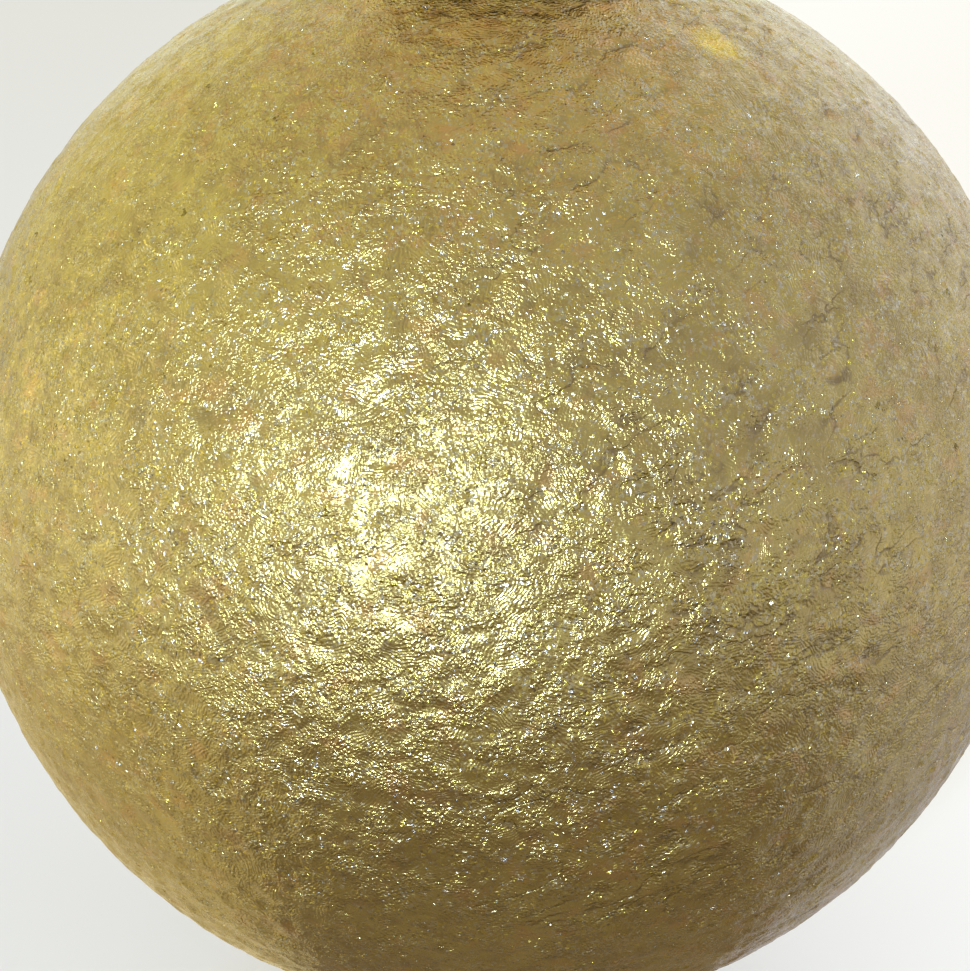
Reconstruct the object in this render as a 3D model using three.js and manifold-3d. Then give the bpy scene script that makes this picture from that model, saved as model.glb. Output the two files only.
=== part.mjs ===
// A blown glass ball ornament: a glass globe with a short open neck, a crinkled gold lacquer coat
// over the globe, a stamped metal cap with a fluted skirt over the neck, and one bent spring wire
// whose loop stands above the cap and whose legs press on the inside of the neck.
//
// Millimetres, +Z up. The origin is where a hook bears, at the inside top of the wire loop, so the
// ornament hangs below it. The loop lies in the XZ plane.
import * as THREE from "three";
import { mergeVertices } from "three/addons/utils/BufferGeometryUtils.js";
import Module from "manifold-3d";

// ---- driving dimensions ----
const BALL_DIAMETER = 60; // over the lacquer
const LACQUER = 0.3; // thickness of the lacquer coat
const BOND_GAP = 0.15; // lacquer to glass, which are bonded on a real ball
const GLASS_WALL = 0.8;
const FIT_GAP = 0.3; // between pieces that rest on or slide past each other

const NECK_BORE = 9.2; // diameter
const NECK_RISE = 6.4; // straight end of the neck above the top of the glass sphere
const NECK_BLEND = 1.2; // outside radius where the neck leaves the sphere

const CAP_SHEET = 0.4; // thickness of the stamped metal
const CAP_SHOULDER = 0.9; // outside radius between the cap's top and its skirt
const CAP_FLARE = 1.5; // how far the skirt spreads on its way down
const CAP_FLARE_POWER = 1.6; // above 1, it spreads more towards its edge
const SKIRT_LIFT = 0.9; // of the skirt's edge above the glass right under it
const CAP_FLUTES = 18;
const FLUTE_DEPTH = 0.32; // half the height of a flute at the skirt's edge

const WIRE = 0.9; // diameter
const LOOP_RADIUS = 3.9; // to the middle of the wire
const LOOP_FOOT_BEND = 1.2; // radius where the loop turns down into its legs
const LEG_SPACING = 5.8; // between the middles of the legs, where they pass through the cap
const LEG_TRAVEL = 2.5; // how far the cap can rise on the legs before it meets the loop
const LEG_LENGTH = 14.5; // below the underside of the cap
const LEG_FLARE = LEG_LENGTH / 4; // under the cap, where each leg spreads to the wall of the neck
const TIP_LENGTH = LEG_LENGTH / 5; // the end of each leg that turns inwards
const TIP_TURN_IN = 0.6; // how far each tip leans inwards, so that it enters the neck easily

// ---- mesh fineness ----
const ROUND_SEGMENTS = 40; // around the globe and the coat
const SPHERE_STEPS = 20; // from the bottom of a sphere to the neck
const BLEND_STEPS = 4; // where the neck leaves the sphere
const RIM_STEPS = 6; // over the rim of the neck
const CAP_SEGMENTS = CAP_FLUTES * 5; // around the cap
const SHOULDER_STEPS = 4;
const SKIRT_STEPS = 5; // down the skirt
const WIRE_SIDES = 8;
const WIRE_STEPS = 76;
const SLOT_SEGMENTS = 12;
const WELD = 1e-4; // points closer than this are one point

// ---- worked out ----
const glassRadius = BALL_DIAMETER / 2 - LACQUER - BOND_GAP;
const boreRadius = NECK_BORE / 2;
const neckRadius = boreRadius + GLASS_WALL;
const rimTop = glassRadius + NECK_RISE + GLASS_WALL / 2;
const capUnderside = rimTop + FIT_GAP;
const capTop = capUnderside + CAP_SHEET;
const capRadius = neckRadius + FIT_GAP + CAP_SHEET; // of the skirt, just under the shoulder
const legX = LEG_SPACING / 2;
const loopFoot = capTop + LEG_TRAVEL + FIT_GAP; // where the straight legs begin
const footCentreX = legX + LOOP_FOOT_BEND;
const footAngle = Math.acos(footCentreX / (LOOP_RADIUS + LOOP_FOOT_BEND));
const loopCentre = loopFoot + (LOOP_RADIUS + LOOP_FOOT_BEND) * Math.sin(footAngle);
const hangHeight = loopCentre + LOOP_RADIUS - WIRE / 2; // of the origin above the globe's centre

const wasm = await Module();
wasm.setup();

// ---- helpers ----
const degrees = (angle) => (angle * Math.PI) / 180;

// Points of an arc about (x, y), from one angle to another, both ends included.
function arc(x, y, radius, from, to, steps) {
  const at = (i) => from + ((to - from) * i) / steps;
  return Array.from({ length: steps + 1 }, (_, i) => {
    return new THREE.Vector2(x + radius * Math.cos(at(i)), y + radius * Math.sin(at(i)));
  });
}

// A profile of (radius, height) points turned about the Z axis.
function turned(profile, segments) {
  return new THREE.LatheGeometry(profile, segments).rotateX(degrees(90));
}

function mesh(name, geometry, material) {
  const made = new THREE.Mesh(geometry, material);
  made.name = name;
  return made;
}

function toSolid(geometry) {
  const bare = geometry.clone();
  bare.deleteAttribute("normal");
  bare.deleteAttribute("uv");
  const merged = mergeVertices(bare, WELD);
  return new wasm.Manifold(
    new wasm.Mesh({
      numProp: 3,
      vertProperties: merged.attributes.position.array,
      triVerts: new Uint32Array(merged.index.array),
    }),
  );
}

function toGeometry(solid) {
  const { vertProperties, triVerts } = solid.getMesh();
  const geometry = new THREE.BufferGeometry();
  geometry.setAttribute("position", new THREE.BufferAttribute(vertProperties, 3));
  geometry.setIndex(new THREE.BufferAttribute(triVerts, 1));
  geometry.computeVertexNormals();
  return geometry;
}

// ---- glass globe ----
// One wall of even thickness: the sphere, a blend and the neck, out to the fire-polished rim and
// back down the inside. The inside and outside blends share one centre.
function glassGlobe() {
  const insideRadius = glassRadius - GLASS_WALL;
  const blendX = neckRadius + NECK_BLEND;
  const blendReach = glassRadius + NECK_BLEND;
  const blendZ = Math.sqrt(blendReach ** 2 - blendX ** 2);
  const tangent = Math.atan2(blendZ, blendX);
  const sphereSide = tangent - Math.PI; // from the blend's centre, towards the sphere's
  const bottom = degrees(-90);
  const rimX = boreRadius + GLASS_WALL / 2;
  const rimZ = glassRadius + NECK_RISE;
  const profile = [
    ...arc(0, 0, glassRadius, bottom, tangent, SPHERE_STEPS),
    ...arc(blendX, blendZ, NECK_BLEND, sphereSide, -Math.PI, BLEND_STEPS).slice(1),
    ...arc(rimX, rimZ, GLASS_WALL / 2, 0, Math.PI, RIM_STEPS),
    ...arc(blendX, blendZ, NECK_BLEND + GLASS_WALL, -Math.PI, sphereSide, BLEND_STEPS),
    ...arc(0, 0, insideRadius, tangent, bottom, SPHERE_STEPS).slice(1),
  ];
  return turned(profile, ROUND_SEGMENTS);
}

// ---- lacquer coat ----
// It covers the sphere and stops under the cap's skirt, short of the neck's blend.
function lacquerCoat() {
  const outside = BALL_DIAMETER / 2;
  const inside = outside - LACQUER;
  const edgeRadius = capRadius + CAP_FLARE / 2;
  const edge = Math.acos(edgeRadius / outside);
  const bottom = degrees(-90);
  const profile = [
    ...arc(0, 0, outside, bottom, edge, SPHERE_STEPS),
    ...arc(0, 0, inside, edge, bottom, SPHERE_STEPS),
  ];
  return turned(profile, ROUND_SEGMENTS);
}

// ---- cap ----
// A thin crown: flat top, round shoulder, and a skirt that spreads and flutes towards its edge.
function capCrown() {
  const skirtFoot = Math.sqrt(glassRadius ** 2 - (capRadius + CAP_FLARE) ** 2) + SKIRT_LIFT;
  const shoulderX = capRadius - CAP_SHOULDER;
  const shoulderZ = capTop - CAP_SHOULDER;
  const innerShoulder = CAP_SHOULDER - CAP_SHEET;
  const spread = (share) => CAP_FLARE * share ** CAP_FLARE_POWER;
  const skirt = (inset) =>
    Array.from({ length: SKIRT_STEPS + 1 }, (_, i) => {
      const share = i / SKIRT_STEPS;
      const height = shoulderZ + (skirtFoot - shoulderZ) * share;
      return new THREE.Vector2(capRadius - inset + spread(share), height);
    });
  const profile = [
    new THREE.Vector2(0, capTop),
    ...arc(shoulderX, shoulderZ, CAP_SHOULDER, degrees(90), 0, SHOULDER_STEPS),
    ...skirt(0).slice(1),
    ...skirt(CAP_SHEET).reverse(),
    ...arc(shoulderX, shoulderZ, innerShoulder, 0, degrees(90), SHOULDER_STEPS).slice(1),
    new THREE.Vector2(0, capUnderside),
  ].reverse();
  const crown = turned(profile, CAP_SEGMENTS);

  const place = crown.getAttribute("position");
  for (let i = 0; i < place.count; i++) {
    const [x, y, z] = [place.getX(i), place.getY(i), place.getZ(i)];
    const share = Math.max(0, (shoulderZ - z) / (shoulderZ - skirtFoot));
    const radius = Math.hypot(x, y);
    const wave = Math.cos(CAP_FLUTES * Math.atan2(y, x));
    const scale = radius > 0 ? 1 + (FLUTE_DEPTH * share * wave) / radius : 1;
    place.setXY(i, x * scale, y * scale);
  }

  const slotRadius = WIRE / 2 + FIT_GAP;
  const cutLength = 4 * CAP_SHEET; // passes right through the sheet
  const slots = [-legX, legX].map((x) => {
    const slot = new THREE.CylinderGeometry(slotRadius, slotRadius, cutLength, SLOT_SEGMENTS);
    slot.rotateX(degrees(90)).translate(x, 0, capUnderside + CAP_SHEET / 2);
    return toSolid(slot);
  });
  return toGeometry(slots.reduce((solid, slot) => solid.subtract(slot), toSolid(crown)));
}

// ---- spring hanger ----
// The wire's line in the XZ plane, from one tip up through the cap, round the loop and back down.
function hangerLine() {
  const pressedX = boreRadius - FIT_GAP - WIRE / 2;
  const flareTop = capUnderside - FIT_GAP;
  const flareFoot = flareTop - LEG_FLARE;
  const tip = capUnderside - LEG_LENGTH;
  const tipBend = tip + TIP_LENGTH;
  const flareEase = (flareTop - flareFoot) / 2;
  const loopEnd = -footAngle;
  const line = new THREE.Path();
  line.moveTo(-pressedX + TIP_TURN_IN, tip);
  line.quadraticCurveTo(-pressedX, (tip + tipBend) / 2, -pressedX, tipBend);
  line.lineTo(-pressedX, flareFoot);
  line.bezierCurveTo(-pressedX, flareFoot + flareEase, -legX, flareTop - flareEase, -legX, flareTop);
  line.lineTo(-legX, loopFoot);
  line.absarc(-footCentreX, loopFoot, LOOP_FOOT_BEND, 0, footAngle, false);
  line.absarc(0, loopCentre, LOOP_RADIUS, Math.PI - loopEnd, loopEnd, true);
  line.absarc(footCentreX, loopFoot, LOOP_FOOT_BEND, Math.PI - footAngle, Math.PI, false);
  line.lineTo(legX, flareTop);
  line.bezierCurveTo(legX, flareTop - flareEase, pressedX, flareFoot + flareEase, pressedX, flareFoot);
  line.lineTo(pressedX, tipBend);
  line.quadraticCurveTo(pressedX, (tip + tipBend) / 2, pressedX - TIP_TURN_IN, tip);
  const points = line.getSpacedPoints(2 * WIRE_STEPS).map((p) => new THREE.Vector3(p.x, 0, p.y));
  return new THREE.CatmullRomCurve3(points);
}

function springHanger() {
  const section = new THREE.Shape(arc(0, 0, WIRE / 2, 0, degrees(360), WIRE_SIDES).slice(1));
  return new THREE.ExtrudeGeometry(section, { steps: WIRE_STEPS, extrudePath: hangerLine() });
}

// ---- materials ----
const glass = new THREE.MeshStandardMaterial({ color: 0xd8dcd4, roughness: 0.08, metalness: 0 });
const lacquer = new THREE.MeshStandardMaterial({ color: 0xa89354, roughness: 0.45, metalness: 0.9 });
const goldTin = new THREE.MeshStandardMaterial({ color: 0xc9a24b, roughness: 0.28, metalness: 1 });
const springWire = new THREE.MeshStandardMaterial({ color: 0xc7ab63, roughness: 0.22, metalness: 1 });

// ---- assembly ----
const ornament = new THREE.Group();
ornament.add(
  mesh("glass_globe", glassGlobe(), glass),
  mesh("lacquer_coat", lacquerCoat(), lacquer),
  mesh("cap_crown", capCrown(), goldTin),
  mesh("spring_hanger", springHanger(), springWire),
);
ornament.position.z = -hangHeight;

const part = new THREE.Group();
part.add(ornament);

export default part;
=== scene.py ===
import math

import bmesh
import bpy
from mathutils import Euler, Matrix, Vector


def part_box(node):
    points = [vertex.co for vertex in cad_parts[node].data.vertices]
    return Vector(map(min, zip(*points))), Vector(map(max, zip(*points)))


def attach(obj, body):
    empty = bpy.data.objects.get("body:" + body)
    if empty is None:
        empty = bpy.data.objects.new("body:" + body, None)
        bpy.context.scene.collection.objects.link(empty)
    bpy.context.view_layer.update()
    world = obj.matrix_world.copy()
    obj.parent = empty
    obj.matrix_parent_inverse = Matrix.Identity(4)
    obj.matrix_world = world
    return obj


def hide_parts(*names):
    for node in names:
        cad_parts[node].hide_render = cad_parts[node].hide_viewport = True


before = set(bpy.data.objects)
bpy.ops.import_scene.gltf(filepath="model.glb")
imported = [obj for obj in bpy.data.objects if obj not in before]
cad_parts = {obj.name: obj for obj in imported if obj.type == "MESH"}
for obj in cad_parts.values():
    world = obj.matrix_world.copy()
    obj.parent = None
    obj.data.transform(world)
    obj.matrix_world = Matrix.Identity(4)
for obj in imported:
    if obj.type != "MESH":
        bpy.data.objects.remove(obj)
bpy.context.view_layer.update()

# ---- sizes, in millimetres unless a comment says otherwise; heights are from the ball's centre ----
MM = 0.001  # in metres
WELD = 0.001  # points closer than this are one point

coat_low, coat_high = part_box("lacquer_coat")
cap_low, cap_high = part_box("cap_crown")
glass_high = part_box("glass_globe")[1]
wire_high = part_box("spring_hanger")[1]

BALL_RADIUS = 30.0
COAT_THICKNESS = 0.3
ball_centre = Vector((0, 0, coat_low.z + BALL_RADIUS * MM))  # in metres


def above_centre(height):
    """A height in the frame, in metres, as millimetres above the ball's centre."""
    return (height - ball_centre.z) / MM


COAT_EDGE_HEIGHT = above_centre(coat_high.z)
GLASS_RADIUS = 29.55
GLASS_WALL = 0.8
NECK_RADIUS = 5.4
NECK_BLEND = 1.2
RIM_CENTRE_HEIGHT = above_centre(glass_high.z) - GLASS_WALL / 2
RIM_DROP = 0.1
RIM_WAVES = ((2, 0.7, 0.06), (5, 0.0, 0.04))  # waves round the rim, their phase and height
FIT_GAP = 0.3

CAP_TOP = above_centre(cap_high.z)
CAP_FOOT = above_centre(cap_low.z)
CAP_SHEET = 0.4
CAP_UNDERSIDE = CAP_TOP - CAP_SHEET
CAP_RADIUS = NECK_RADIUS + FIT_GAP + CAP_SHEET
CAP_SHOULDER = 0.9
CAP_FLARE = 1.5
CAP_FLARE_POWER = 1.6
CAP_FLUTES = 18
FLUTE_DEPTH = 0.32
FLUTE_POWER = 0.8  # of the cosine that makes the flutes; under 1 they are fuller
HEM = 0.2  # radius of the rolled hem
HEM_SCALLOP = 0.22  # half of how far the hem rises between the flutes
HEM_SCALLOP_POWER = 4
CAP_PETALS = 12
TOP_RING = 4.7
TOP_RING_WIDTH = 0.28
PRESS_DEPTH = 0.16
PRESS_MARGIN = 0.5  # from the ring in to the petals, and out to the end of the pressing
HOLE_RADIUS = 0.75
HOLE_CUTTER = 3.0  # length of the cutter, which has to reach through the sheet

WIRE = 0.9
WIRE_END = 0.6  # how far a cut end is rounded over, as a share of the wire's radius
WIRE_END_FLAT = 0.01  # radius of the flat left at the very end
LOOP_RADIUS = 3.9
LOOP_FOOT_BEND = 1.2
LOOP_CENTRE = above_centre(wire_high.z) - WIRE / 2 - LOOP_RADIUS
LEG_X = 2.9
LEG_LENGTH = 14.5
LEG_FLARE = LEG_LENGTH / 4
TIP_LENGTH = LEG_LENGTH / 5
TIP_TURN_IN = 0.6

# ---- fineness of the meshes: steps along a stretch of outline, segments round a turned piece ----
COAT_FINENESS = 8
COAT_INSIDE_FINENESS = 5
GLASS_SEGMENTS = 160
GLASS_OUTSIDE_STEPS = 110
GLASS_INSIDE_STEPS = 80
NECK_BLEND_STEPS = 12
RIM_STEPS = 16
FLUTE_SEGMENTS = 24
CAP_TOP_STEPS = 40
SHOULDER_STEPS = 12
INNER_SHOULDER_STEPS = 8
SKIRT_STEPS = 34
HEM_STEPS = 12
HOLE_SEGMENTS = 48
WIRE_SIDES = 24
WIRE_END_STEPS = 6
TIP_STEPS = 20
STRAIGHT_STEPS = 12
FLARE_STEPS = 36
LEG_STEPS = 14
FOOT_STEPS = 16
LOOP_STEPS = 90
CARD_STEPS = 24

# ---- camera ----
SENSOR_WIDTH = 36.0
CAMERA_DISTANCE = 150.0
CAMERA_ELEVATION = math.radians(21.2)
CLIP_NEAR = 0.01  # in metres
CLIP_FAR = 20.0  # in metres
BALL_SHARE = 1.1231  # the ball's outline is this many picture widths across
BALL_RIGHT = 0.0140  # the ball's middle is this far right of the picture's, in picture widths
BALL_UP = 0.0134  # and this far above it


def make_camera():
    """Looks at the ball along +Y and downwards, close enough for the ball to run out of the frame."""
    data = bpy.data.cameras.new("camera")
    camera = bpy.data.objects.new("camera", data)
    bpy.context.scene.collection.objects.link(camera)
    outline = math.asin(BALL_RADIUS / CAMERA_DISTANCE)
    data.sensor_width = SENSOR_WIDTH
    data.lens = SENSOR_WIDTH * BALL_SHARE / 2 / math.tan(outline)
    data.clip_start = CLIP_NEAR
    data.clip_end = CLIP_FAR
    back = Vector((0, -math.cos(CAMERA_ELEVATION), math.sin(CAMERA_ELEVATION)))
    camera.location = ball_centre + back * CAMERA_DISTANCE * MM
    tilt = Euler((math.pi / 2 - CAMERA_ELEVATION, 0, 0)).to_matrix()
    picture = SENSOR_WIDTH / data.lens
    turn = Euler((-math.atan(BALL_UP * picture), math.atan(BALL_RIGHT * picture), 0)).to_matrix()
    camera.rotation_euler = (tilt @ turn).to_euler()
    bpy.context.scene.camera = camera


# ---- node helpers, which work in a material's tree and in a geometry tree ----
class Tree:
    # the Mix node has sockets for every kind of value; these are its share and its colour ones
    MIX_SHARE, MIX_FIRST, MIX_SECOND, MIX_RESULT = 0, 6, 7, 2

    def __init__(self, tree):
        self.tree = tree

    def node(self, kind, **settings):
        made = self.tree.nodes.new(kind)
        for name, value in settings.items():
            setattr(made, name, value)
        return made

    def feed(self, socket, value):
        if isinstance(value, bpy.types.NodeSocket):
            self.tree.links.new(value, socket)
        elif value is not None:
            socket.default_value = value

    def math(self, operation, *values):
        made = self.node("ShaderNodeMath", operation=operation)
        for socket, value in zip(made.inputs, values):
            self.feed(socket, value)
        return made.outputs[0]

    def vector(self, operation, *values, scale=None):
        made = self.node("ShaderNodeVectorMath", operation=operation)
        for socket, value in zip(made.inputs, values):
            self.feed(socket, value)
        if scale is not None:
            self.feed(made.inputs["Scale"], scale)
        return made.outputs["Value" if operation in ("DOT_PRODUCT", "LENGTH") else "Vector"]

    def noise(self, place, size, detail=2.0, roughness=0.5, distortion=0.0, colour=False):
        made = self.node("ShaderNodeTexNoise", noise_dimensions="3D")
        self.feed(made.inputs["Vector"], place)
        made.inputs["Scale"].default_value = 1 / size
        made.inputs["Detail"].default_value = detail
        made.inputs["Roughness"].default_value = roughness
        made.inputs["Distortion"].default_value = distortion
        return made.outputs["Color" if colour else "Fac"]

    def cells(self, place, size, feature="F1", output="Distance"):
        made = self.node("ShaderNodeTexVoronoi", voronoi_dimensions="3D", feature=feature)
        self.feed(made.inputs["Vector"], place)
        made.inputs["Scale"].default_value = 1 / size
        return made.outputs[output]

    def ramp(self, value, low, high, to_low=0.0, to_high=1.0, smooth=True):
        made = self.node("ShaderNodeMapRange", interpolation_type="SMOOTHSTEP" if smooth else "LINEAR")
        for name, given in zip(("Value", "From Min", "From Max", "To Min", "To Max"),
                               (value, low, high, to_low, to_high)):
            self.feed(made.inputs[name], given)
        return made.outputs[0]

    def mix_colour(self, share, first, second):
        made = self.node("ShaderNodeMix", data_type="RGBA")
        self.feed(made.inputs[self.MIX_SHARE], share)
        self.feed(made.inputs[self.MIX_FIRST], first)
        self.feed(made.inputs[self.MIX_SECOND], second)
        return made.outputs[self.MIX_RESULT]

    def bump(self, height):
        """The normal that a height in millimetres gives."""
        made = self.node("ShaderNodeBump")
        made.inputs["Distance"].default_value = MM
        self.feed(made.inputs["Height"], height)
        return made.outputs[0]

    def object_place(self):
        """The point's place in the frame, in millimetres."""
        return self.vector("SCALE", self.node("ShaderNodeTexCoord").outputs["Object"], scale=1 / MM)


def linear(red, green, blue):
    return (red, green, blue, 1.0)


def new_material(name):
    """A material with its node tree, and its shader node."""
    material = bpy.data.materials.new(name)
    material.use_nodes = True
    t = Tree(material.node_tree)
    return material, t, t.tree.nodes["Principled BSDF"]


# ---- crinkled lacquer coat ----
# A pair of noise levels says where something fades in. Two more numbers are its values there.
SWAY_SIZE, SWAY_HEIGHT = 8.0, 0.06
FOLD_SIZE, FOLD_HEIGHT, FOLD_DISTORTION = 1.25, 0.24, 0.8
PUCKER_SIZE, PUCKER_HEIGHT = 1.15, 0.08
LEATHER_LOW, LEATHER_HIGH = 0.05, 0.31  # leather_height is cut off outside these

CREASE_TURN = math.radians(22)
CREASE_STRETCH = (0.3, 0.5, 1.0)
CREASE_SPACING = 1.7
CREASE_WANDER_SIZE, CREASE_WANDER = 1.2, 0.9
CREASE_PATCH_SIZE, CREASE_PATCHES = 3.5, (0.47, 0.6)
CREASE_FADE = (-12.0, 4.0, 0.3, 1.0)  # from the first x to the second, and the depth's share at each
BROAD_CREASE_WIDTH, BROAD_CREASE_DEPTH = 0.08, 0.07


def crease_field(t, place, width):
    """From 0 on open lacquer to 1 at the bottom of a crease. place is in millimetres."""
    leaning = t.node("ShaderNodeVectorRotate", rotation_type="Y_AXIS")
    t.feed(leaning.inputs["Vector"], place)
    leaning.inputs["Angle"].default_value = CREASE_TURN
    stretched = t.vector("MULTIPLY", leaning.outputs[0], CREASE_STRETCH)
    wander = t.noise(place, CREASE_WANDER_SIZE, detail=2, colour=True)
    moved = t.vector("ADD", stretched, t.vector("SCALE", wander, scale=CREASE_WANDER))
    line = t.math("ABSOLUTE", t.math("SUBTRACT", t.noise(moved, CREASE_SPACING, detail=1), 0.5))
    where = t.ramp(t.noise(place, CREASE_PATCH_SIZE, detail=2), *CREASE_PATCHES)
    across = t.node("ShaderNodeSeparateXYZ")
    t.feed(across.inputs[0], place)
    depth = t.math("MULTIPLY", where, t.ramp(across.outputs[0], *CREASE_FADE))
    return t.math("MULTIPLY", t.ramp(line, 0.0, width, 1.0, 0.0), depth)


def leather_height(t, place):
    """Height in millimetres of the coat's crinkles that are wide enough for the mesh to hold."""
    sway = t.math("MULTIPLY", t.noise(place, SWAY_SIZE, detail=1), SWAY_HEIGHT)
    folded = t.noise(place, FOLD_SIZE, detail=1, distortion=FOLD_DISTORTION)
    fold = t.math("MULTIPLY", folded, FOLD_HEIGHT)
    pucker = t.math("MULTIPLY", t.cells(place, PUCKER_SIZE, feature="SMOOTH_F1"), PUCKER_HEIGHT)
    crease = t.math("MULTIPLY", crease_field(t, place, BROAD_CREASE_WIDTH), -BROAD_CREASE_DEPTH)
    return t.math("ADD", t.math("ADD", sway, fold), t.math("ADD", pucker, crease))


def displace_coat(ball):
    """Presses the crinkles into the coat's outside, never out past its plain sphere."""
    tree = bpy.data.node_groups.new("coat_shape", "GeometryNodeTree")
    tree.interface.new_socket("Geometry", in_out="INPUT", socket_type="NodeSocketGeometry")
    tree.interface.new_socket("Geometry", in_out="OUTPUT", socket_type="NodeSocketGeometry")
    t = Tree(tree)
    start = t.node("NodeGroupInput")
    end = t.node("NodeGroupOutput")
    position = t.node("GeometryNodeInputPosition").outputs[0]
    from_centre = t.vector("SUBTRACT", position, tuple(ball_centre))
    place = t.vector("SCALE", position, scale=1 / MM)
    outer_side = (BALL_RADIUS - COAT_THICKNESS / 4) * MM
    outside = t.math("GREATER_THAN", t.vector("LENGTH", from_centre), outer_side)
    height = t.ramp(leather_height(t, place), LEATHER_LOW, LEATHER_HIGH,
                    LEATHER_LOW - LEATHER_HIGH, 0.0, smooth=False)
    shift = t.math("MULTIPLY", t.math("MULTIPLY", height, outside), MM)
    move = t.node("GeometryNodeSetPosition")
    t.feed(move.inputs["Geometry"], start.outputs[0])
    t.feed(move.inputs["Offset"], t.vector("SCALE", t.vector("NORMALIZE", from_centre), scale=shift))
    t.feed(end.inputs[0], move.outputs[0])
    modifier = ball.modifiers.new("coat_shape", "NODES")
    modifier.node_group = tree
    apply_modifiers(ball)


def apply_modifiers(piece):
    graph = bpy.context.evaluated_depsgraph_get()
    mesh = bpy.data.meshes.new_from_object(piece.evaluated_get(graph), depsgraph=graph)
    piece.modifiers.clear()
    piece.data = mesh


def link(name, mesh):
    piece = bpy.data.objects.new(name, mesh)
    bpy.context.scene.collection.objects.link(piece)
    return piece


def turned(name, profile, segments, shape_ring=None):
    """A closed profile of (radius, height) points, turned about the Z axis through the ball's centre.

    shape_ring(radius, height, angle) may give each ring point a new radius and height.
    """
    corners, faces = [], []
    for step in range(segments):
        angle = 2 * math.pi * step / segments
        for radius, height in profile:
            if shape_ring:
                radius, height = shape_ring(radius, height, angle)
            corners.append((radius * math.cos(angle), radius * math.sin(angle), height))
    count = len(profile)
    for step in range(segments):
        here, there = step * count, (step + 1) % segments * count
        for i in range(count):
            j = (i + 1) % count
            faces.append((here + i, there + i, there + j, here + j))
    mesh = bpy.data.meshes.new(name)
    mesh.from_pydata(corners, [], faces)
    mesh.transform(Matrix.Translation(ball_centre) @ Matrix.Scale(MM, 4))
    tidy(mesh)
    return link(name, mesh)


def tidy(mesh):
    """Merges the points that a turned profile leaves on the axis, and faces everything outwards."""
    shape = bmesh.new()
    shape.from_mesh(mesh)
    bmesh.ops.remove_doubles(shape, verts=shape.verts, dist=WELD * MM)
    bmesh.ops.dissolve_degenerate(shape, edges=shape.edges, dist=WELD / 2 * MM)
    bmesh.ops.recalc_face_normals(shape, faces=shape.faces)
    shape.to_mesh(mesh)
    shape.free()
    mesh.shade_smooth()


def arc(x, z, radius, start, end, steps):
    """Points of an arc about (x, z), both ends included; the angles are in radians."""
    angles = [start + (end - start) * i / steps for i in range(steps + 1)]
    return [(x + radius * math.cos(angle), z + radius * math.sin(angle)) for angle in angles]


def make_coat():
    """Two spheres, one inside the other, cut open at the neck and joined along the cut."""
    mesh = bpy.data.meshes.new("lacquer_skin")
    shape = bmesh.new()
    place = Matrix.Translation(ball_centre)
    bmesh.ops.create_icosphere(shape, subdivisions=COAT_FINENESS, radius=BALL_RADIUS * MM, matrix=place)
    inside = bmesh.ops.create_icosphere(shape, subdivisions=COAT_INSIDE_FINENESS,
                                        radius=(BALL_RADIUS - COAT_THICKNESS) * MM, matrix=place)
    inside_faces = list({face for corner in inside["verts"] for face in corner.link_faces})
    bmesh.ops.reverse_faces(shape, faces=inside_faces)
    everything = shape.verts[:] + shape.edges[:] + shape.faces[:]
    cut = ball_centre + Vector((0, 0, COAT_EDGE_HEIGHT * MM))
    bmesh.ops.bisect_plane(shape, geom=everything, plane_co=cut, plane_no=(0, 0, 1), clear_outer=True)
    rim = [edge for edge in shape.edges if edge.is_boundary]
    bmesh.ops.bridge_loops(shape, edges=rim)
    shape.to_mesh(mesh)
    shape.free()
    coat = link("lacquer_skin", mesh)
    displace_coat(coat)
    coat.data.shade_smooth()
    return coat


# ---- blown glass globe ----
GLASS_TINTS = (linear(0.90, 0.95, 0.91), linear(0.97, 0.98, 0.96))
GLASS_TINT_SIZE = 7.0
GLASS_SMEAR_SIZE, GLASS_SMEARS = 1.5, (0.3, 0.7, 0.015, 0.06)
GLASS_STREAK_SIZE, GLASS_STREAK_HEIGHT = 1.8, 0.05
GLASS_STREAK_STRETCH = (1, 1, 0.35)
GLASS_IOR = 1.51


def make_globe():
    """The sphere, the blend into the neck, the fire-polished rim, and the inside surface."""
    blend_x = NECK_RADIUS + NECK_BLEND
    blend_z = math.sqrt((GLASS_RADIUS + NECK_BLEND) ** 2 - blend_x ** 2)
    tangent = math.atan2(blend_z, blend_x)
    bottom, up, side = -math.pi / 2, math.pi, tangent - math.pi
    rim_x = NECK_RADIUS - GLASS_WALL / 2
    profile = (
        arc(0, 0, GLASS_RADIUS, bottom, tangent, GLASS_OUTSIDE_STEPS)
        + arc(blend_x, blend_z, NECK_BLEND, side, -up, NECK_BLEND_STEPS)[1:]
        + arc(rim_x, RIM_CENTRE_HEIGHT, GLASS_WALL / 2, 0, up, RIM_STEPS)
        + arc(blend_x, blend_z, NECK_BLEND + GLASS_WALL, -up, side, NECK_BLEND_STEPS)
        + arc(0, 0, GLASS_RADIUS - GLASS_WALL, tangent, bottom, GLASS_INSIDE_STEPS)[1:]
    )

    def drawn(radius, height, angle):
        """The neck was drawn out by hand, so its rim runs a little high and low."""
        share = max(0.0, (height - GLASS_RADIUS) / (RIM_CENTRE_HEIGHT - GLASS_RADIUS))
        lift = sum(rise * math.sin(count * angle + phase) for count, phase, rise in RIM_WAVES)
        return radius, height + share * share * (lift - RIM_DROP)

    return turned("blown_globe", profile, GLASS_SEGMENTS, drawn)


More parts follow.
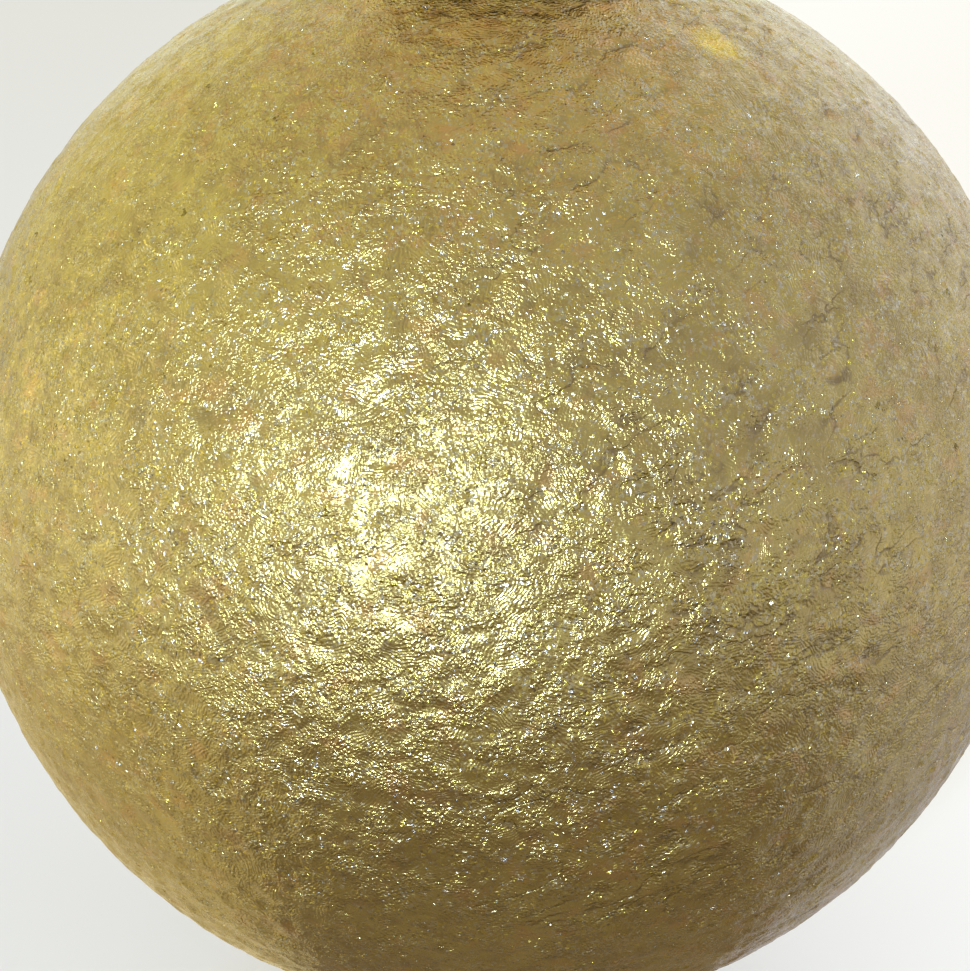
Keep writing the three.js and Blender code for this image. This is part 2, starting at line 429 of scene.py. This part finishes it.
def glass_material():
    material, t, shader = new_material("clear_glass")
    place = t.object_place()
    t.feed(shader.inputs["Base Color"], t.mix_colour(t.noise(place, GLASS_TINT_SIZE), *GLASS_TINTS))
    t.feed(shader.inputs["Roughness"], t.ramp(t.noise(place, GLASS_SMEAR_SIZE, detail=4), *GLASS_SMEARS))
    stretched = t.vector("MULTIPLY", place, GLASS_STREAK_STRETCH)
    streaks = t.noise(stretched, GLASS_STREAK_SIZE, detail=1)
    t.feed(shader.inputs["Normal"], t.bump(t.math("MULTIPLY", streaks, GLASS_STREAK_HEIGHT)))
    shader.inputs["Transmission Weight"].default_value = 1.0
    shader.inputs["IOR"].default_value = GLASS_IOR
    return material


# ---- stamped cap ----
def make_cap():
    """The flat top, round shoulder and flared skirt with its rolled hem, outside and inside."""
    shoulder_x = CAP_RADIUS - CAP_SHOULDER
    shoulder_z = CAP_TOP - CAP_SHOULDER
    inner = CAP_SHOULDER - CAP_SHEET
    hem_x = CAP_RADIUS + CAP_FLARE - HEM / 2
    hem_z = CAP_FOOT + HEM

    def top(height):
        return [(shoulder_x * i / CAP_TOP_STEPS, height) for i in range(CAP_TOP_STEPS)]

    def skirt(inset):
        shares = [i / SKIRT_STEPS for i in range(SKIRT_STEPS + 1)]
        return [(CAP_RADIUS - inset + CAP_FLARE * share ** CAP_FLARE_POWER,
                 shoulder_z + (hem_z - shoulder_z) * share) for share in shares]

    profile = (
        top(CAP_TOP)
        + arc(shoulder_x, shoulder_z, CAP_SHOULDER, math.pi / 2, 0, SHOULDER_STEPS)
        + skirt(0)[1:]
        + arc(hem_x, hem_z, HEM, 0, -math.pi, HEM_STEPS)[1:-1]
        + skirt(CAP_SHEET)[::-1]
        + arc(shoulder_x, shoulder_z, inner, 0, math.pi / 2, INNER_SHOULDER_STEPS)[1:]
        + top(CAP_UNDERSIDE)[::-1]
    )

    def stamped(radius, height, angle):
        """Flutes down the skirt, and a ring with petals inside it that stand up from a pressed top."""
        share = max(0.0, (shoulder_z - height) / (shoulder_z - CAP_FOOT))
        if share > 0:
            wave = math.cos(CAP_FLUTES * angle)
            pleat = math.copysign(abs(wave) ** FLUTE_POWER, wave)
            rise = HEM_SCALLOP * share ** HEM_SCALLOP_POWER * (1 - pleat)
            return radius + FLUTE_DEPTH * share * pleat, height + rise
        if radius >= TOP_RING + PRESS_MARGIN:
            return radius, height
        ring = math.exp(-((radius - TOP_RING) / TOP_RING_WIDTH) ** 2)
        petal_length = min(1.0, radius / (TOP_RING - PRESS_MARGIN))
        petal = max(0.0, math.sin(math.pi * petal_length)) * (1 + math.cos(CAP_PETALS * angle)) / 2
        return radius, height - PRESS_DEPTH * (1 - max(ring, petal))

    return turned("stamped_cap", profile, CAP_FLUTES * FLUTE_SEGMENTS, stamped)


def cut_wire_holes(cap):
    for side in (-1, 1):
        mesh = bpy.data.meshes.new("hole_cutter")
        shape = bmesh.new()
        bmesh.ops.create_cone(shape, cap_ends=True, segments=HOLE_SEGMENTS, radius1=HOLE_RADIUS * MM,
                              radius2=HOLE_RADIUS * MM, depth=HOLE_CUTTER * MM)
        middle = Vector((side * LEG_X, 0, (CAP_TOP + CAP_UNDERSIDE) / 2)) * MM
        bmesh.ops.translate(shape, verts=shape.verts, vec=ball_centre + middle)
        shape.to_mesh(mesh)
        shape.free()
        cutter = link("hole_cutter", mesh)
        cut = cap.modifiers.new("hole", "BOOLEAN")
        cut.operation = "DIFFERENCE"
        cut.solver = "EXACT"
        cut.object = cutter
        apply_modifiers(cap)
        bpy.data.objects.remove(cutter)


# ---- bright metal of the cap and the wire ----
MARK_SIZE, MARK_HEIGHT = 0.5, 0.012
TARNISH_SIZE, TARNISH = 2.8, (0.42, 0.68)
SPECKLE_SIZE, SPECKLES, SPECKLE_SHARE = 0.22, (0.62, 0.75), 0.6
TARNISH_ROUGHNESS = 0.12  # added where the metal is tarnished

CAP_GOLD = (linear(0.72, 0.50, 0.18), linear(0.40, 0.25, 0.09))  # bright and tarnished
CAP_ROUGHNESS = (0.18, 0.42)
WIRE_GOLD = (linear(0.74, 0.58, 0.28), linear(0.42, 0.30, 0.14))
WIRE_ROUGHNESS = (0.12, 0.34)
EVERY_WAY = (1, 1, 1)
DRAWN_ALONG = (0.12, 6, 6)  # the wire's marks are long along it and narrow across it


def metal_material(name, gold, rough, place_from=None, scratch=EVERY_WAY):
    """Bright metal with tarnish in patches and fine marks drawn out along one direction."""
    material, t, shader = new_material(name)
    place = t.object_place()
    marks_place = place
    if place_from:
        marks_place = t.node("ShaderNodeAttribute", attribute_name=place_from).outputs["Vector"]
    marks = t.noise(t.vector("MULTIPLY", marks_place, scratch), MARK_SIZE, detail=4, roughness=0.65)
    tarnish = t.ramp(t.noise(place, TARNISH_SIZE, detail=4, roughness=0.6), *TARNISH)
    speckle = t.ramp(t.noise(place, SPECKLE_SIZE, detail=2), *SPECKLES)
    worn = t.math("MAXIMUM", tarnish, t.math("MULTIPLY", speckle, SPECKLE_SHARE))
    t.feed(shader.inputs["Base Color"], t.mix_colour(worn, *gold))
    low, high = rough
    dulled = t.math("MULTIPLY", worn, TARNISH_ROUGHNESS)
    uneven = t.math("ADD", t.math("MULTIPLY", marks, high - low), dulled)
    t.feed(shader.inputs["Roughness"], t.math("ADD", uneven, low))
    t.feed(shader.inputs["Normal"], t.bump(t.math("MULTIPLY", marks, MARK_HEIGHT)))
    shader.inputs["Metallic"].default_value = 1.0
    return material


# ---- spring wire hanger ----
def wire_line():
    """The wire's middle line in the XZ plane: (x, height) points from the right tip up to the loop's top."""
    pressed_x = NECK_RADIUS - GLASS_WALL - FIT_GAP - WIRE / 2
    flare_top = CAP_UNDERSIDE - FIT_GAP
    flare_foot = flare_top - LEG_FLARE
    tip = CAP_UNDERSIDE - LEG_LENGTH
    tip_bend = tip + TIP_LENGTH
    foot_x = LEG_X + LOOP_FOOT_BEND
    foot_angle = math.acos(foot_x / (LOOP_RADIUS + LOOP_FOOT_BEND))
    loop_foot = LOOP_CENTRE - (LOOP_RADIUS + LOOP_FOOT_BEND) * math.sin(foot_angle)

    def between(low, high, steps):
        """Each step's share of the way and its height, without the last point."""
        return [(i / steps, low + (high - low) * i / steps) for i in range(steps)]

    turn_in = [(pressed_x - TIP_TURN_IN * (1 - share) ** 2, height)
               for share, height in between(tip, tip_bend, TIP_STEPS)]
    straight = [(pressed_x, height) for _, height in between(tip_bend, flare_foot, STRAIGHT_STEPS)]
    # leaves the neck's side and enters the cap's hole straight upwards
    flare = [(pressed_x + (LEG_X - pressed_x) * share * share * (3 - 2 * share), height)
             for share, height in between(flare_foot, flare_top, FLARE_STEPS)]
    leg = [(LEG_X, height) for _, height in between(flare_top, loop_foot, LEG_STEPS)]
    foot = arc(foot_x, loop_foot, LOOP_FOOT_BEND, math.pi, math.pi - foot_angle, FOOT_STEPS)
    loop = arc(0, LOOP_CENTRE, LOOP_RADIUS, -foot_angle, math.pi / 2, LOOP_STEPS)[1:]
    return turn_in + straight + flare + leg + foot + loop


def wire_rings():
    """A middle, direction and radius for each ring of the wire, with each cut end rounded over."""
    half = wire_line()
    line = half + [(-x, z) for x, z in half[-2::-1]]
    rings = []
    for i, (x, z) in enumerate(line):
        before, after = line[max(i - 1, 0)], line[min(i + 1, len(line) - 1)]
        along = Vector((after[0] - before[0], 0, after[1] - before[1])).normalized()
        rings.append((Vector((x, 0, z)), along, WIRE / 2))

    def rounded(middle, along, radius, way):
        ends = []
        for step in range(1, WIRE_END_STEPS + 1):
            angle = math.pi / 2 * step / WIRE_END_STEPS
            thin = max(radius * math.cos(angle), WIRE_END_FLAT)
            ends.append((middle + along * way * radius * WIRE_END * math.sin(angle), along, thin))
        return ends

    return rounded(*rings[0], -1)[::-1] + rings + rounded(*rings[-1], 1)


def make_wire():
    """A round section swept along the wire's rings.

    Its attribute strand holds how far along the wire each point is, and where round it.
    """
    rings = wire_rings()
    sideways = Vector((0, 1, 0))
    corners, faces, strands = [], [], []
    length = 0.0
    before = rings[0][0]
    for middle, along, radius in rings:
        length += (middle - before).length
        before = middle
        outward = along.cross(sideways)
        for side in range(WIRE_SIDES):
            angle = 2 * math.pi * side / WIRE_SIDES
            ray = outward * math.cos(angle) + sideways * math.sin(angle)
            corners.append(middle + ray * radius)
            strands.extend((length, math.cos(angle), math.sin(angle)))
    last = (len(rings) - 1) * WIRE_SIDES
    for low in range(0, last, WIRE_SIDES):
        high = low + WIRE_SIDES
        for side in range(WIRE_SIDES):
            other = (side + 1) % WIRE_SIDES
            faces.append((low + side, low + other, high + other, high + side))
    faces.append(tuple(range(WIRE_SIDES)))
    faces.append(tuple(last + side for side in reversed(range(WIRE_SIDES))))
    mesh = bpy.data.meshes.new("bent_wire")
    mesh.from_pydata(corners, [], faces)
    mesh.transform(Matrix.Translation(ball_centre) @ Matrix.Scale(MM, 4))
    strand = mesh.attributes.new("strand", "FLOAT_VECTOR", "POINT")
    strand.data.foreach_set("vector", strands)
    tidy(mesh)
    return link("bent_wire", mesh)


# ---- lacquer's finish, in the terms of the coat's crinkles above ----
RIDGE_SPACING, RIDGE_HEIGHT = 0.165, 0.0060
RIDGE_WARP_SIZE, RIDGE_WARP = 0.9, 0.6
RIDGE_PATCH_SIZE = 1.3
RIDGE_SHARE_SIZE, RIDGE_SHARE = 2.0, (0.35, 0.6, 0.6, 1.1)
GRAIN_SIZE = 0.17
GRAIN_SHARE_SIZE, GRAIN_HEIGHT = 1.4, (0.34, 0.64, 0.04, 0.15)
SOFT_FOLD_SIZE, SOFT_FOLD_HEIGHT = 0.9, 0.12
FINE_CREASE_WIDTH, FINE_CREASE_DEPTH = 0.028, 0.03

CROWD_STRETCH = (0.4, 0.4, 1.0)
CROWD_SIZE, CROWD = 1.1, (0.36, 0.64, 0.05, 0.45)
GOLD_FLAKE, GOLD_REACH = 0.15, 0.62
FINE_FLAKE, FINE_REACH, FINE_SHARE = 0.15, 0.9, 0.4
COARSE_FLAKE, COARSE_REACH, COARSE_SHARE = 0.36, 1.2, 0.6  # its share is of the gold flakes'
FINE_SHIFT = (3, 1, 2)  # each shift gives its pattern places of its own
COARSE_SHIFT = (7, 4, 1)
BROWN_SHIFT = (5, 9, 2)

GOLD_TONES = (linear(0.335, 0.254, 0.078), linear(0.412, 0.325, 0.102))
TONE_SIZE, TONES = 4.0, (0.35, 0.65)
ORANGE = linear(0.44, 0.27, 0.10)
ORANGE_SIZE, ORANGES = 1.5, (0.54, 0.72, 0.0, 0.6)
BROWN = linear(0.22, 0.15, 0.062)
BROWN_SIZE, BROWNS = 1.1, (0.5, 0.68, 0.0, 0.38)
# painted shade in the creases, partly dust: the lacquer is darkened to brown along them
CREASE_SHADE_AND_DUST = linear(0.12, 0.08, 0.04)
CREASE_SHADE_AND_DUST_SHARE = 0.6
FLAKE_COLOURS = (linear(0.44, 0.35, 0.07), linear(0.40, 0.36, 0.22))
FLAKE_KINDS = (0.4, 0.6)
FLAKE_COLOUR_SHARE = 0.8
# a painted highlight: a small patch of bright yellow high on the front right of the ball
PAINTED_HIGHLIGHT_GOLD = linear(0.80, 0.62, 0.06)
PAINTED_HIGHLIGHT_PLACE = Vector((0.36, -0.31, 0.88)) * BALL_RADIUS  # of the painted highlight, from the ball's centre
PAINTED_HIGHLIGHT_FADE = (0.4, 1.8, 0.6, 0.0)  # from the first distance to the second, and the painted highlight's share at each

LACQUER_ROUGHNESS, FLAKE_ROUGHNESS = 0.3, 0.22
LACQUER_EDGE_TINT = linear(0.75, 0.65, 0.45)
CLEAR_COAT = {"Coat Weight": 0.8, "Coat Roughness": 0.2, "Coat IOR": 1.5}
MIDDLE_GREY = (0.5, 0.5, 0.5)  # a random colour less this is a vector that may point any way


def flakes(t, place, size, share, reach):
    """Small flat chips: the lean that each adds to the normal, where they are, and a number for each."""
    chip = t.cells(place, size, output="Color")
    even = t.vector("SUBTRACT", chip, MIDDLE_GREY)
    lean = t.vector("SCALE", even, scale=t.math("MULTIPLY", t.vector("LENGTH", even), 2 * reach))
    dice = t.node("ShaderNodeTexWhiteNoise", noise_dimensions="3D")
    t.feed(dice.inputs["Vector"], chip)
    here = t.math("LESS_THAN", dice.outputs["Value"], share)
    own = t.node("ShaderNodeSeparateColor")
    t.feed(own.inputs[0], dice.outputs["Color"])
    return t.vector("SCALE", lean, scale=here), here, own.outputs[1]


def ridge_relief(t, place, bent):
    """Ridges, like a fingerprint's, which turn another way in each patch of the bent place."""
    patch = t.cells(bent, RIDGE_PATCH_SIZE, output="Color")
    from_middle = t.vector("SUBTRACT", bent, patch.node.outputs["Position"])
    any_way = t.vector("SUBTRACT", patch, MIDDLE_GREY)
    outward = t.vector("NORMALIZE", t.vector("SUBTRACT", place, tuple(ball_centre / MM)))
    along = t.vector("NORMALIZE", t.vector("CROSS_PRODUCT", any_way, outward))
    across = t.vector("DOT_PRODUCT", from_middle, along)
    ridges = t.math("SINE", t.math("MULTIPLY", across, 2 * math.pi / RIDGE_SPACING))
    ridge_share = t.ramp(t.noise(place, RIDGE_SHARE_SIZE, detail=2), *RIDGE_SHARE)
    return t.math("MULTIPLY", t.math("MULTIPLY", ridges, ridge_share), RIDGE_HEIGHT)


def lacquer_normal(t, place, bent, crease):
    """The normal that ridges, grain, soft folds and fine creases give."""
    grain_height = t.ramp(t.noise(place, GRAIN_SHARE_SIZE, detail=1), *GRAIN_HEIGHT)
    grain = t.math("MULTIPLY", t.noise(place, GRAIN_SIZE, detail=1), grain_height)
    folds = t.math("MULTIPLY", t.noise(place, SOFT_FOLD_SIZE, detail=0), SOFT_FOLD_HEIGHT)
    raised = t.math("ADD", ridge_relief(t, place, bent), grain)
    relief = t.math("SUBTRACT", raised, t.math("MULTIPLY", crease, FINE_CREASE_DEPTH))
    return t.bump(t.math("ADD", relief, folds))


def lacquer_colour(t, place, bent, crease, is_gold, kind):
    """Gold that drifts to orange and brown in patches, darkened along the creases by painted shade and dust,
    with flakes and a painted highlight high on the front right.
    """
    tone = t.ramp(t.noise(place, TONE_SIZE, detail=3), *TONES)
    colour = t.mix_colour(tone, *GOLD_TONES)
    orange = t.ramp(t.noise(place, ORANGE_SIZE, detail=1), *ORANGES)
    colour = t.mix_colour(orange, colour, ORANGE)
    brown = t.ramp(t.noise(t.vector("ADD", place, BROWN_SHIFT), BROWN_SIZE, detail=2), *BROWNS)
    colour = t.mix_colour(brown, colour, BROWN)
    # painted shade and dust: darker brown along the creases
    colour = t.mix_colour(t.math("MULTIPLY", crease, CREASE_SHADE_AND_DUST_SHARE), colour, CREASE_SHADE_AND_DUST)
    flake_colour = t.mix_colour(t.ramp(kind, *FLAKE_KINDS), *FLAKE_COLOURS)
    colour = t.mix_colour(t.math("MULTIPLY", is_gold, FLAKE_COLOUR_SHARE), colour, flake_colour)
    # the painted highlight of bright yellow
    highlight_place = tuple(ball_centre / MM + PAINTED_HIGHLIGHT_PLACE)
    from_highlight = t.vector("LENGTH", t.vector("SUBTRACT", bent, highlight_place))
    return t.mix_colour(t.ramp(from_highlight, *PAINTED_HIGHLIGHT_FADE), colour, PAINTED_HIGHLIGHT_GOLD)


def lacquer_material():
    """Crinkled gold, with gold flakes in it, and fine and coarse clear flakes on it."""
    material, t, shader = new_material("gold_lacquer")
    place = t.object_place()
    warp = t.vector("SUBTRACT", t.noise(place, RIDGE_WARP_SIZE, detail=1, colour=True), MIDDLE_GREY)
    bent = t.vector("ADD", place, t.vector("SCALE", warp, scale=RIDGE_WARP))
    crease = crease_field(t, place, FINE_CREASE_WIDTH)
    normal = lacquer_normal(t, place, bent, crease)

    crowd_place = t.vector("MULTIPLY", place, CROWD_STRETCH)
    crowd = t.ramp(t.noise(crowd_place, CROWD_SIZE, detail=1), *CROWD)
    gold_lean, is_gold, kind = flakes(t, place, GOLD_FLAKE, crowd, GOLD_REACH)
    coarse_share = t.math("MULTIPLY", crowd, COARSE_SHARE)
    coarse_place = t.vector("ADD", place, COARSE_SHIFT)
    coarse_lean = flakes(t, coarse_place, COARSE_FLAKE, coarse_share, COARSE_REACH)[0]
    fine_place = t.vector("ADD", place, FINE_SHIFT)
    fine_lean = flakes(t, fine_place, FINE_FLAKE, FINE_SHARE, FINE_REACH)[0]
    t.feed(shader.inputs["Normal"], t.vector("NORMALIZE", t.vector("ADD", normal, gold_lean)))
    film = t.vector("ADD", t.vector("ADD", normal, fine_lean), coarse_lean)
    t.feed(shader.inputs["Coat Normal"], t.vector("NORMALIZE", film))

    t.feed(shader.inputs["Base Color"], lacquer_colour(t, place, bent, crease, is_gold, kind))
    rough = t.ramp(is_gold, 0, 1, LACQUER_ROUGHNESS, FLAKE_ROUGHNESS, smooth=False)
    t.feed(shader.inputs["Roughness"], rough)
    shader.inputs["Metallic"].default_value = 1.0
    shader.inputs["Specular Tint"].default_value = LACQUER_EDGE_TINT
    for name, value in CLEAR_COAT.items():
        shader.inputs[name].default_value = value
    return material


# ---- studio: places, distances and sizes in metres from the ball ----
FLOOR_HALF = 6.0
FLOOR_GREY = linear(0.55, 0.55, 0.55)
# painted light: the floor glows, more to the right and less further back
FLOOR_GLOW = linear(1.0, 0.98, 0.95)
FLOOR_ROUGHNESS = 0.18
FLOOR_ACROSS = (-0.06, 0.06, 0.285, 0.515)  # from the first x to the second, and the glow at each
FLOOR_AWAY = (0.02, 0.45, 0.0, 0.08)  # from the first y to the second, and the glow taken off at each
FLOOR_GAP = 0.02 * MM  # under the ball
CARD_LIFT = 0.1 * MM  # over the floor
WORLD_COLOUR = linear(0.74, 0.73, 0.65)


def make_floor(floor_height):
    """A pale glossy table top just under the ball's lowest point, with painted light: it glows a little, more
    on the right than on the left and less further back.
    """
    mesh = bpy.data.meshes.new("floor")
    shape = bmesh.new()
    bmesh.ops.create_grid(shape, x_segments=1, y_segments=1, size=FLOOR_HALF)
    shape.to_mesh(mesh)
    shape.free()
    floor = link("floor", mesh)
    floor.location.z = floor_height
    material, t, shader = new_material("pale_floor")
    shader.inputs["Base Color"].default_value = FLOOR_GREY
    shader.inputs["Roughness"].default_value = FLOOR_ROUGHNESS
    shader.inputs["Emission Color"].default_value = FLOOR_GLOW
    spread = t.node("ShaderNodeSeparateXYZ")
    t.feed(spread.inputs[0], t.node("ShaderNodeTexCoord").outputs["Object"])
    across = t.ramp(spread.outputs[0], *FLOOR_ACROSS)
    away = t.ramp(spread.outputs[1], *FLOOR_AWAY)
    t.feed(shader.inputs["Emission Strength"], t.math("SUBTRACT", across, away))
    floor.data.materials.append(material)
    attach(floor, "globe")


def aim(azimuth, elevation):
    """The direction from the ball to a light. Azimuth 0 is the camera's side, a positive one to the right."""
    turn, rise = math.radians(azimuth), math.radians(elevation)
    return Vector((math.sin(turn) * math.cos(rise), -math.cos(turn) * math.cos(rise), math.sin(rise)))


def make_light(name, azimuth, elevation, distance, size, radiance, only=None):
    """A round soft light that faces the ball. radiance is its red, green and blue brightness.

    only may be a collection: the light then reaches no other object.
    """
    data = bpy.data.lights.new(name, "AREA")
    data.shape = "DISK"
    data.size = size
    brightest = max(radiance)
    data.color = [value / brightest for value in radiance]
    data.energy = brightest * math.pi * math.pi * size * size / 4
    light = bpy.data.objects.new(name, data)
    bpy.context.scene.collection.objects.link(light)
    away = aim(azimuth, elevation)
    light.location = ball_centre + away * distance
    light.rotation_euler = away.to_track_quat("Z", "Y").to_euler()
    light.visible_camera = False
    if only:
        light.light_linking.receiver_collection = only
        light.visible_diffuse = False


def card_material(name, radiance):
    """Glows upwards, and is clear from below."""
    material = bpy.data.materials.new(name)
    material.use_nodes = True
    t = Tree(material.node_tree)
    t.tree.nodes.clear()
    glow = t.node("ShaderNodeEmission")
    glow.inputs["Color"].default_value = linear(*radiance)
    clear = t.node("ShaderNodeBsdfTransparent")
    one_sided = t.node("ShaderNodeMixShader")
    t.feed(one_sided.inputs[0], t.node("ShaderNodeNewGeometry").outputs["Backfacing"])
    t.feed(one_sided.inputs[1], glow.outputs[0])
    t.feed(one_sided.inputs[2], clear.outputs[0])
    t.feed(t.node("ShaderNodeOutputMaterial").inputs[0], one_sided.outputs[0])
    return material


def make_card(name, floor_height, near, far, start, end, radiance):
    """A painted reflection: a glowing sheet low on the table, from near to far of the ball's foot, that only
    reflections see.
    """
    corners, faces = [], []
    for i in range(CARD_STEPS + 1):
        way = aim(start + (end - start) * i / CARD_STEPS, 0)
        for distance in (near, far):
            corners.append((way.x * distance, way.y * distance, floor_height + CARD_LIFT))
    for i in range(CARD_STEPS):
        faces.append((2 * i, 2 * i + 1, 2 * i + 3, 2 * i + 2))
    mesh = bpy.data.meshes.new(name)
    mesh.from_pydata(corners, [], faces)
    if mesh.polygons[0].normal.z < 0:
        mesh.flip_normals()
    card = link(name, mesh)
    card.data.materials.append(card_material(name, radiance))
    card.visible_camera = card.visible_diffuse = card.visible_shadow = False
    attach(card, "globe")


# lights: azimuth, elevation, distance, size, radiance
KEY_LIGHT = (-18.5, 12.5, 0.6, 0.085, (156, 205, 272))
SOFT_LIGHTS = {
    "soft_key": (-36, -4, 0.6, 0.3, (1.3, 1.35, 1.5)),
    "left": (-95, -2, 0.6, 0.42, (1.5, 1.45, 1.0)),
    "left_back": (-130, 16, 0.7, 0.8, (0.62, 0.60, 0.1)),
    "right": (80, 12, 0.6, 0.7, (0.04, 0.04, 0.3)),
    "right_back": (135, 20, 0.7, 0.8, (0.52, 0.6, 1.0)),
    "back": (180, 12, 0.8, 0.8, (0.5, 0.6, 0.6)),
    "back_top": (180, 50, 0.8, 0.7, (0.42, 0.14, 0.0)),
    "top": (0, 86, 0.8, 0.7, (0.15, 0.08, 0.0)),
    "top_left": (-78, 48, 0.7, 0.6, (0.42, 0.42, 0.1)),
}
# sheets: near, far, start and end azimuth, radiance
# the sheets are painted reflections: each glows only in reflections, and the dim front flags paint a darker
# table in front of the ball
CARDS = {
    "flag_front_near": (0.008, 0.075, -45, 60, (0.37, 0.30, 0.21)),
    "flag_front_far": (0.075, 0.25, -60, 60, (0.56, 0.52, 0.45)),
    "card_left_near": (0.008, 0.075, -130, -45, (0.95, 0.84, 0.52)),
    "card_left_far": (0.075, 0.25, -130, -60, (1.5, 1.45, 1.1)),
    "flag_right_near": (0.008, 0.075, 60, 130, (0.68, 0.67, 0.74)),
    "card_right_far": (0.075, 0.25, 60, 130, (1.06, 1.04, 1.15)),
}


def make_studio(floor_height, pieces):
    """The soft lights reach the pieces only, so that the floor stays plain under the key light."""
    world = bpy.data.worlds.new("studio")
    world.use_nodes = True
    world.node_tree.nodes["Background"].inputs["Color"].default_value = WORLD_COLOUR
    bpy.context.scene.world = world
    lit = bpy.data.collections.new("lit_by_soft_lights")
    for piece in pieces:
        lit.objects.link(piece)
    make_light("key", *KEY_LIGHT)
    for name, settings in SOFT_LIGHTS.items():
        make_light(name, *settings, only=lit)
    for name, settings in CARDS.items():
        make_card(name, floor_height, *settings)
    bpy.context.scene.view_settings.view_transform = "Standard"


coat = make_coat()
globe = make_globe()
cap = make_cap()
cut_wire_holes(cap)
wire = make_wire()
floor_height = min(corner.co.z for corner in coat.data.vertices) - FLOOR_GAP

cap_metal = metal_material("gold_tinplate", CAP_GOLD, CAP_ROUGHNESS)
wire_metal = metal_material("spring_wire", WIRE_GOLD, WIRE_ROUGHNESS, "strand", DRAWN_ALONG)
PIECES = (
    (coat, "globe", "lacquer_coat", "gold_lacquer", lacquer_material()),
    (globe, "globe", "glass_globe", "clear_glass", glass_material()),
    (cap, "cap", "cap_crown", "gold_tinplate", cap_metal),
    (wire, "hanger", "spring_hanger", "spring_wire", wire_metal),
)
for piece, body, node, slot, material in PIECES:
    piece.data.materials.clear()
    piece.data.materials.append(material)
    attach(piece, body)
    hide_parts(node)

make_camera()
make_floor(floor_height)
make_studio(floor_height, (coat, globe, cap, wire))
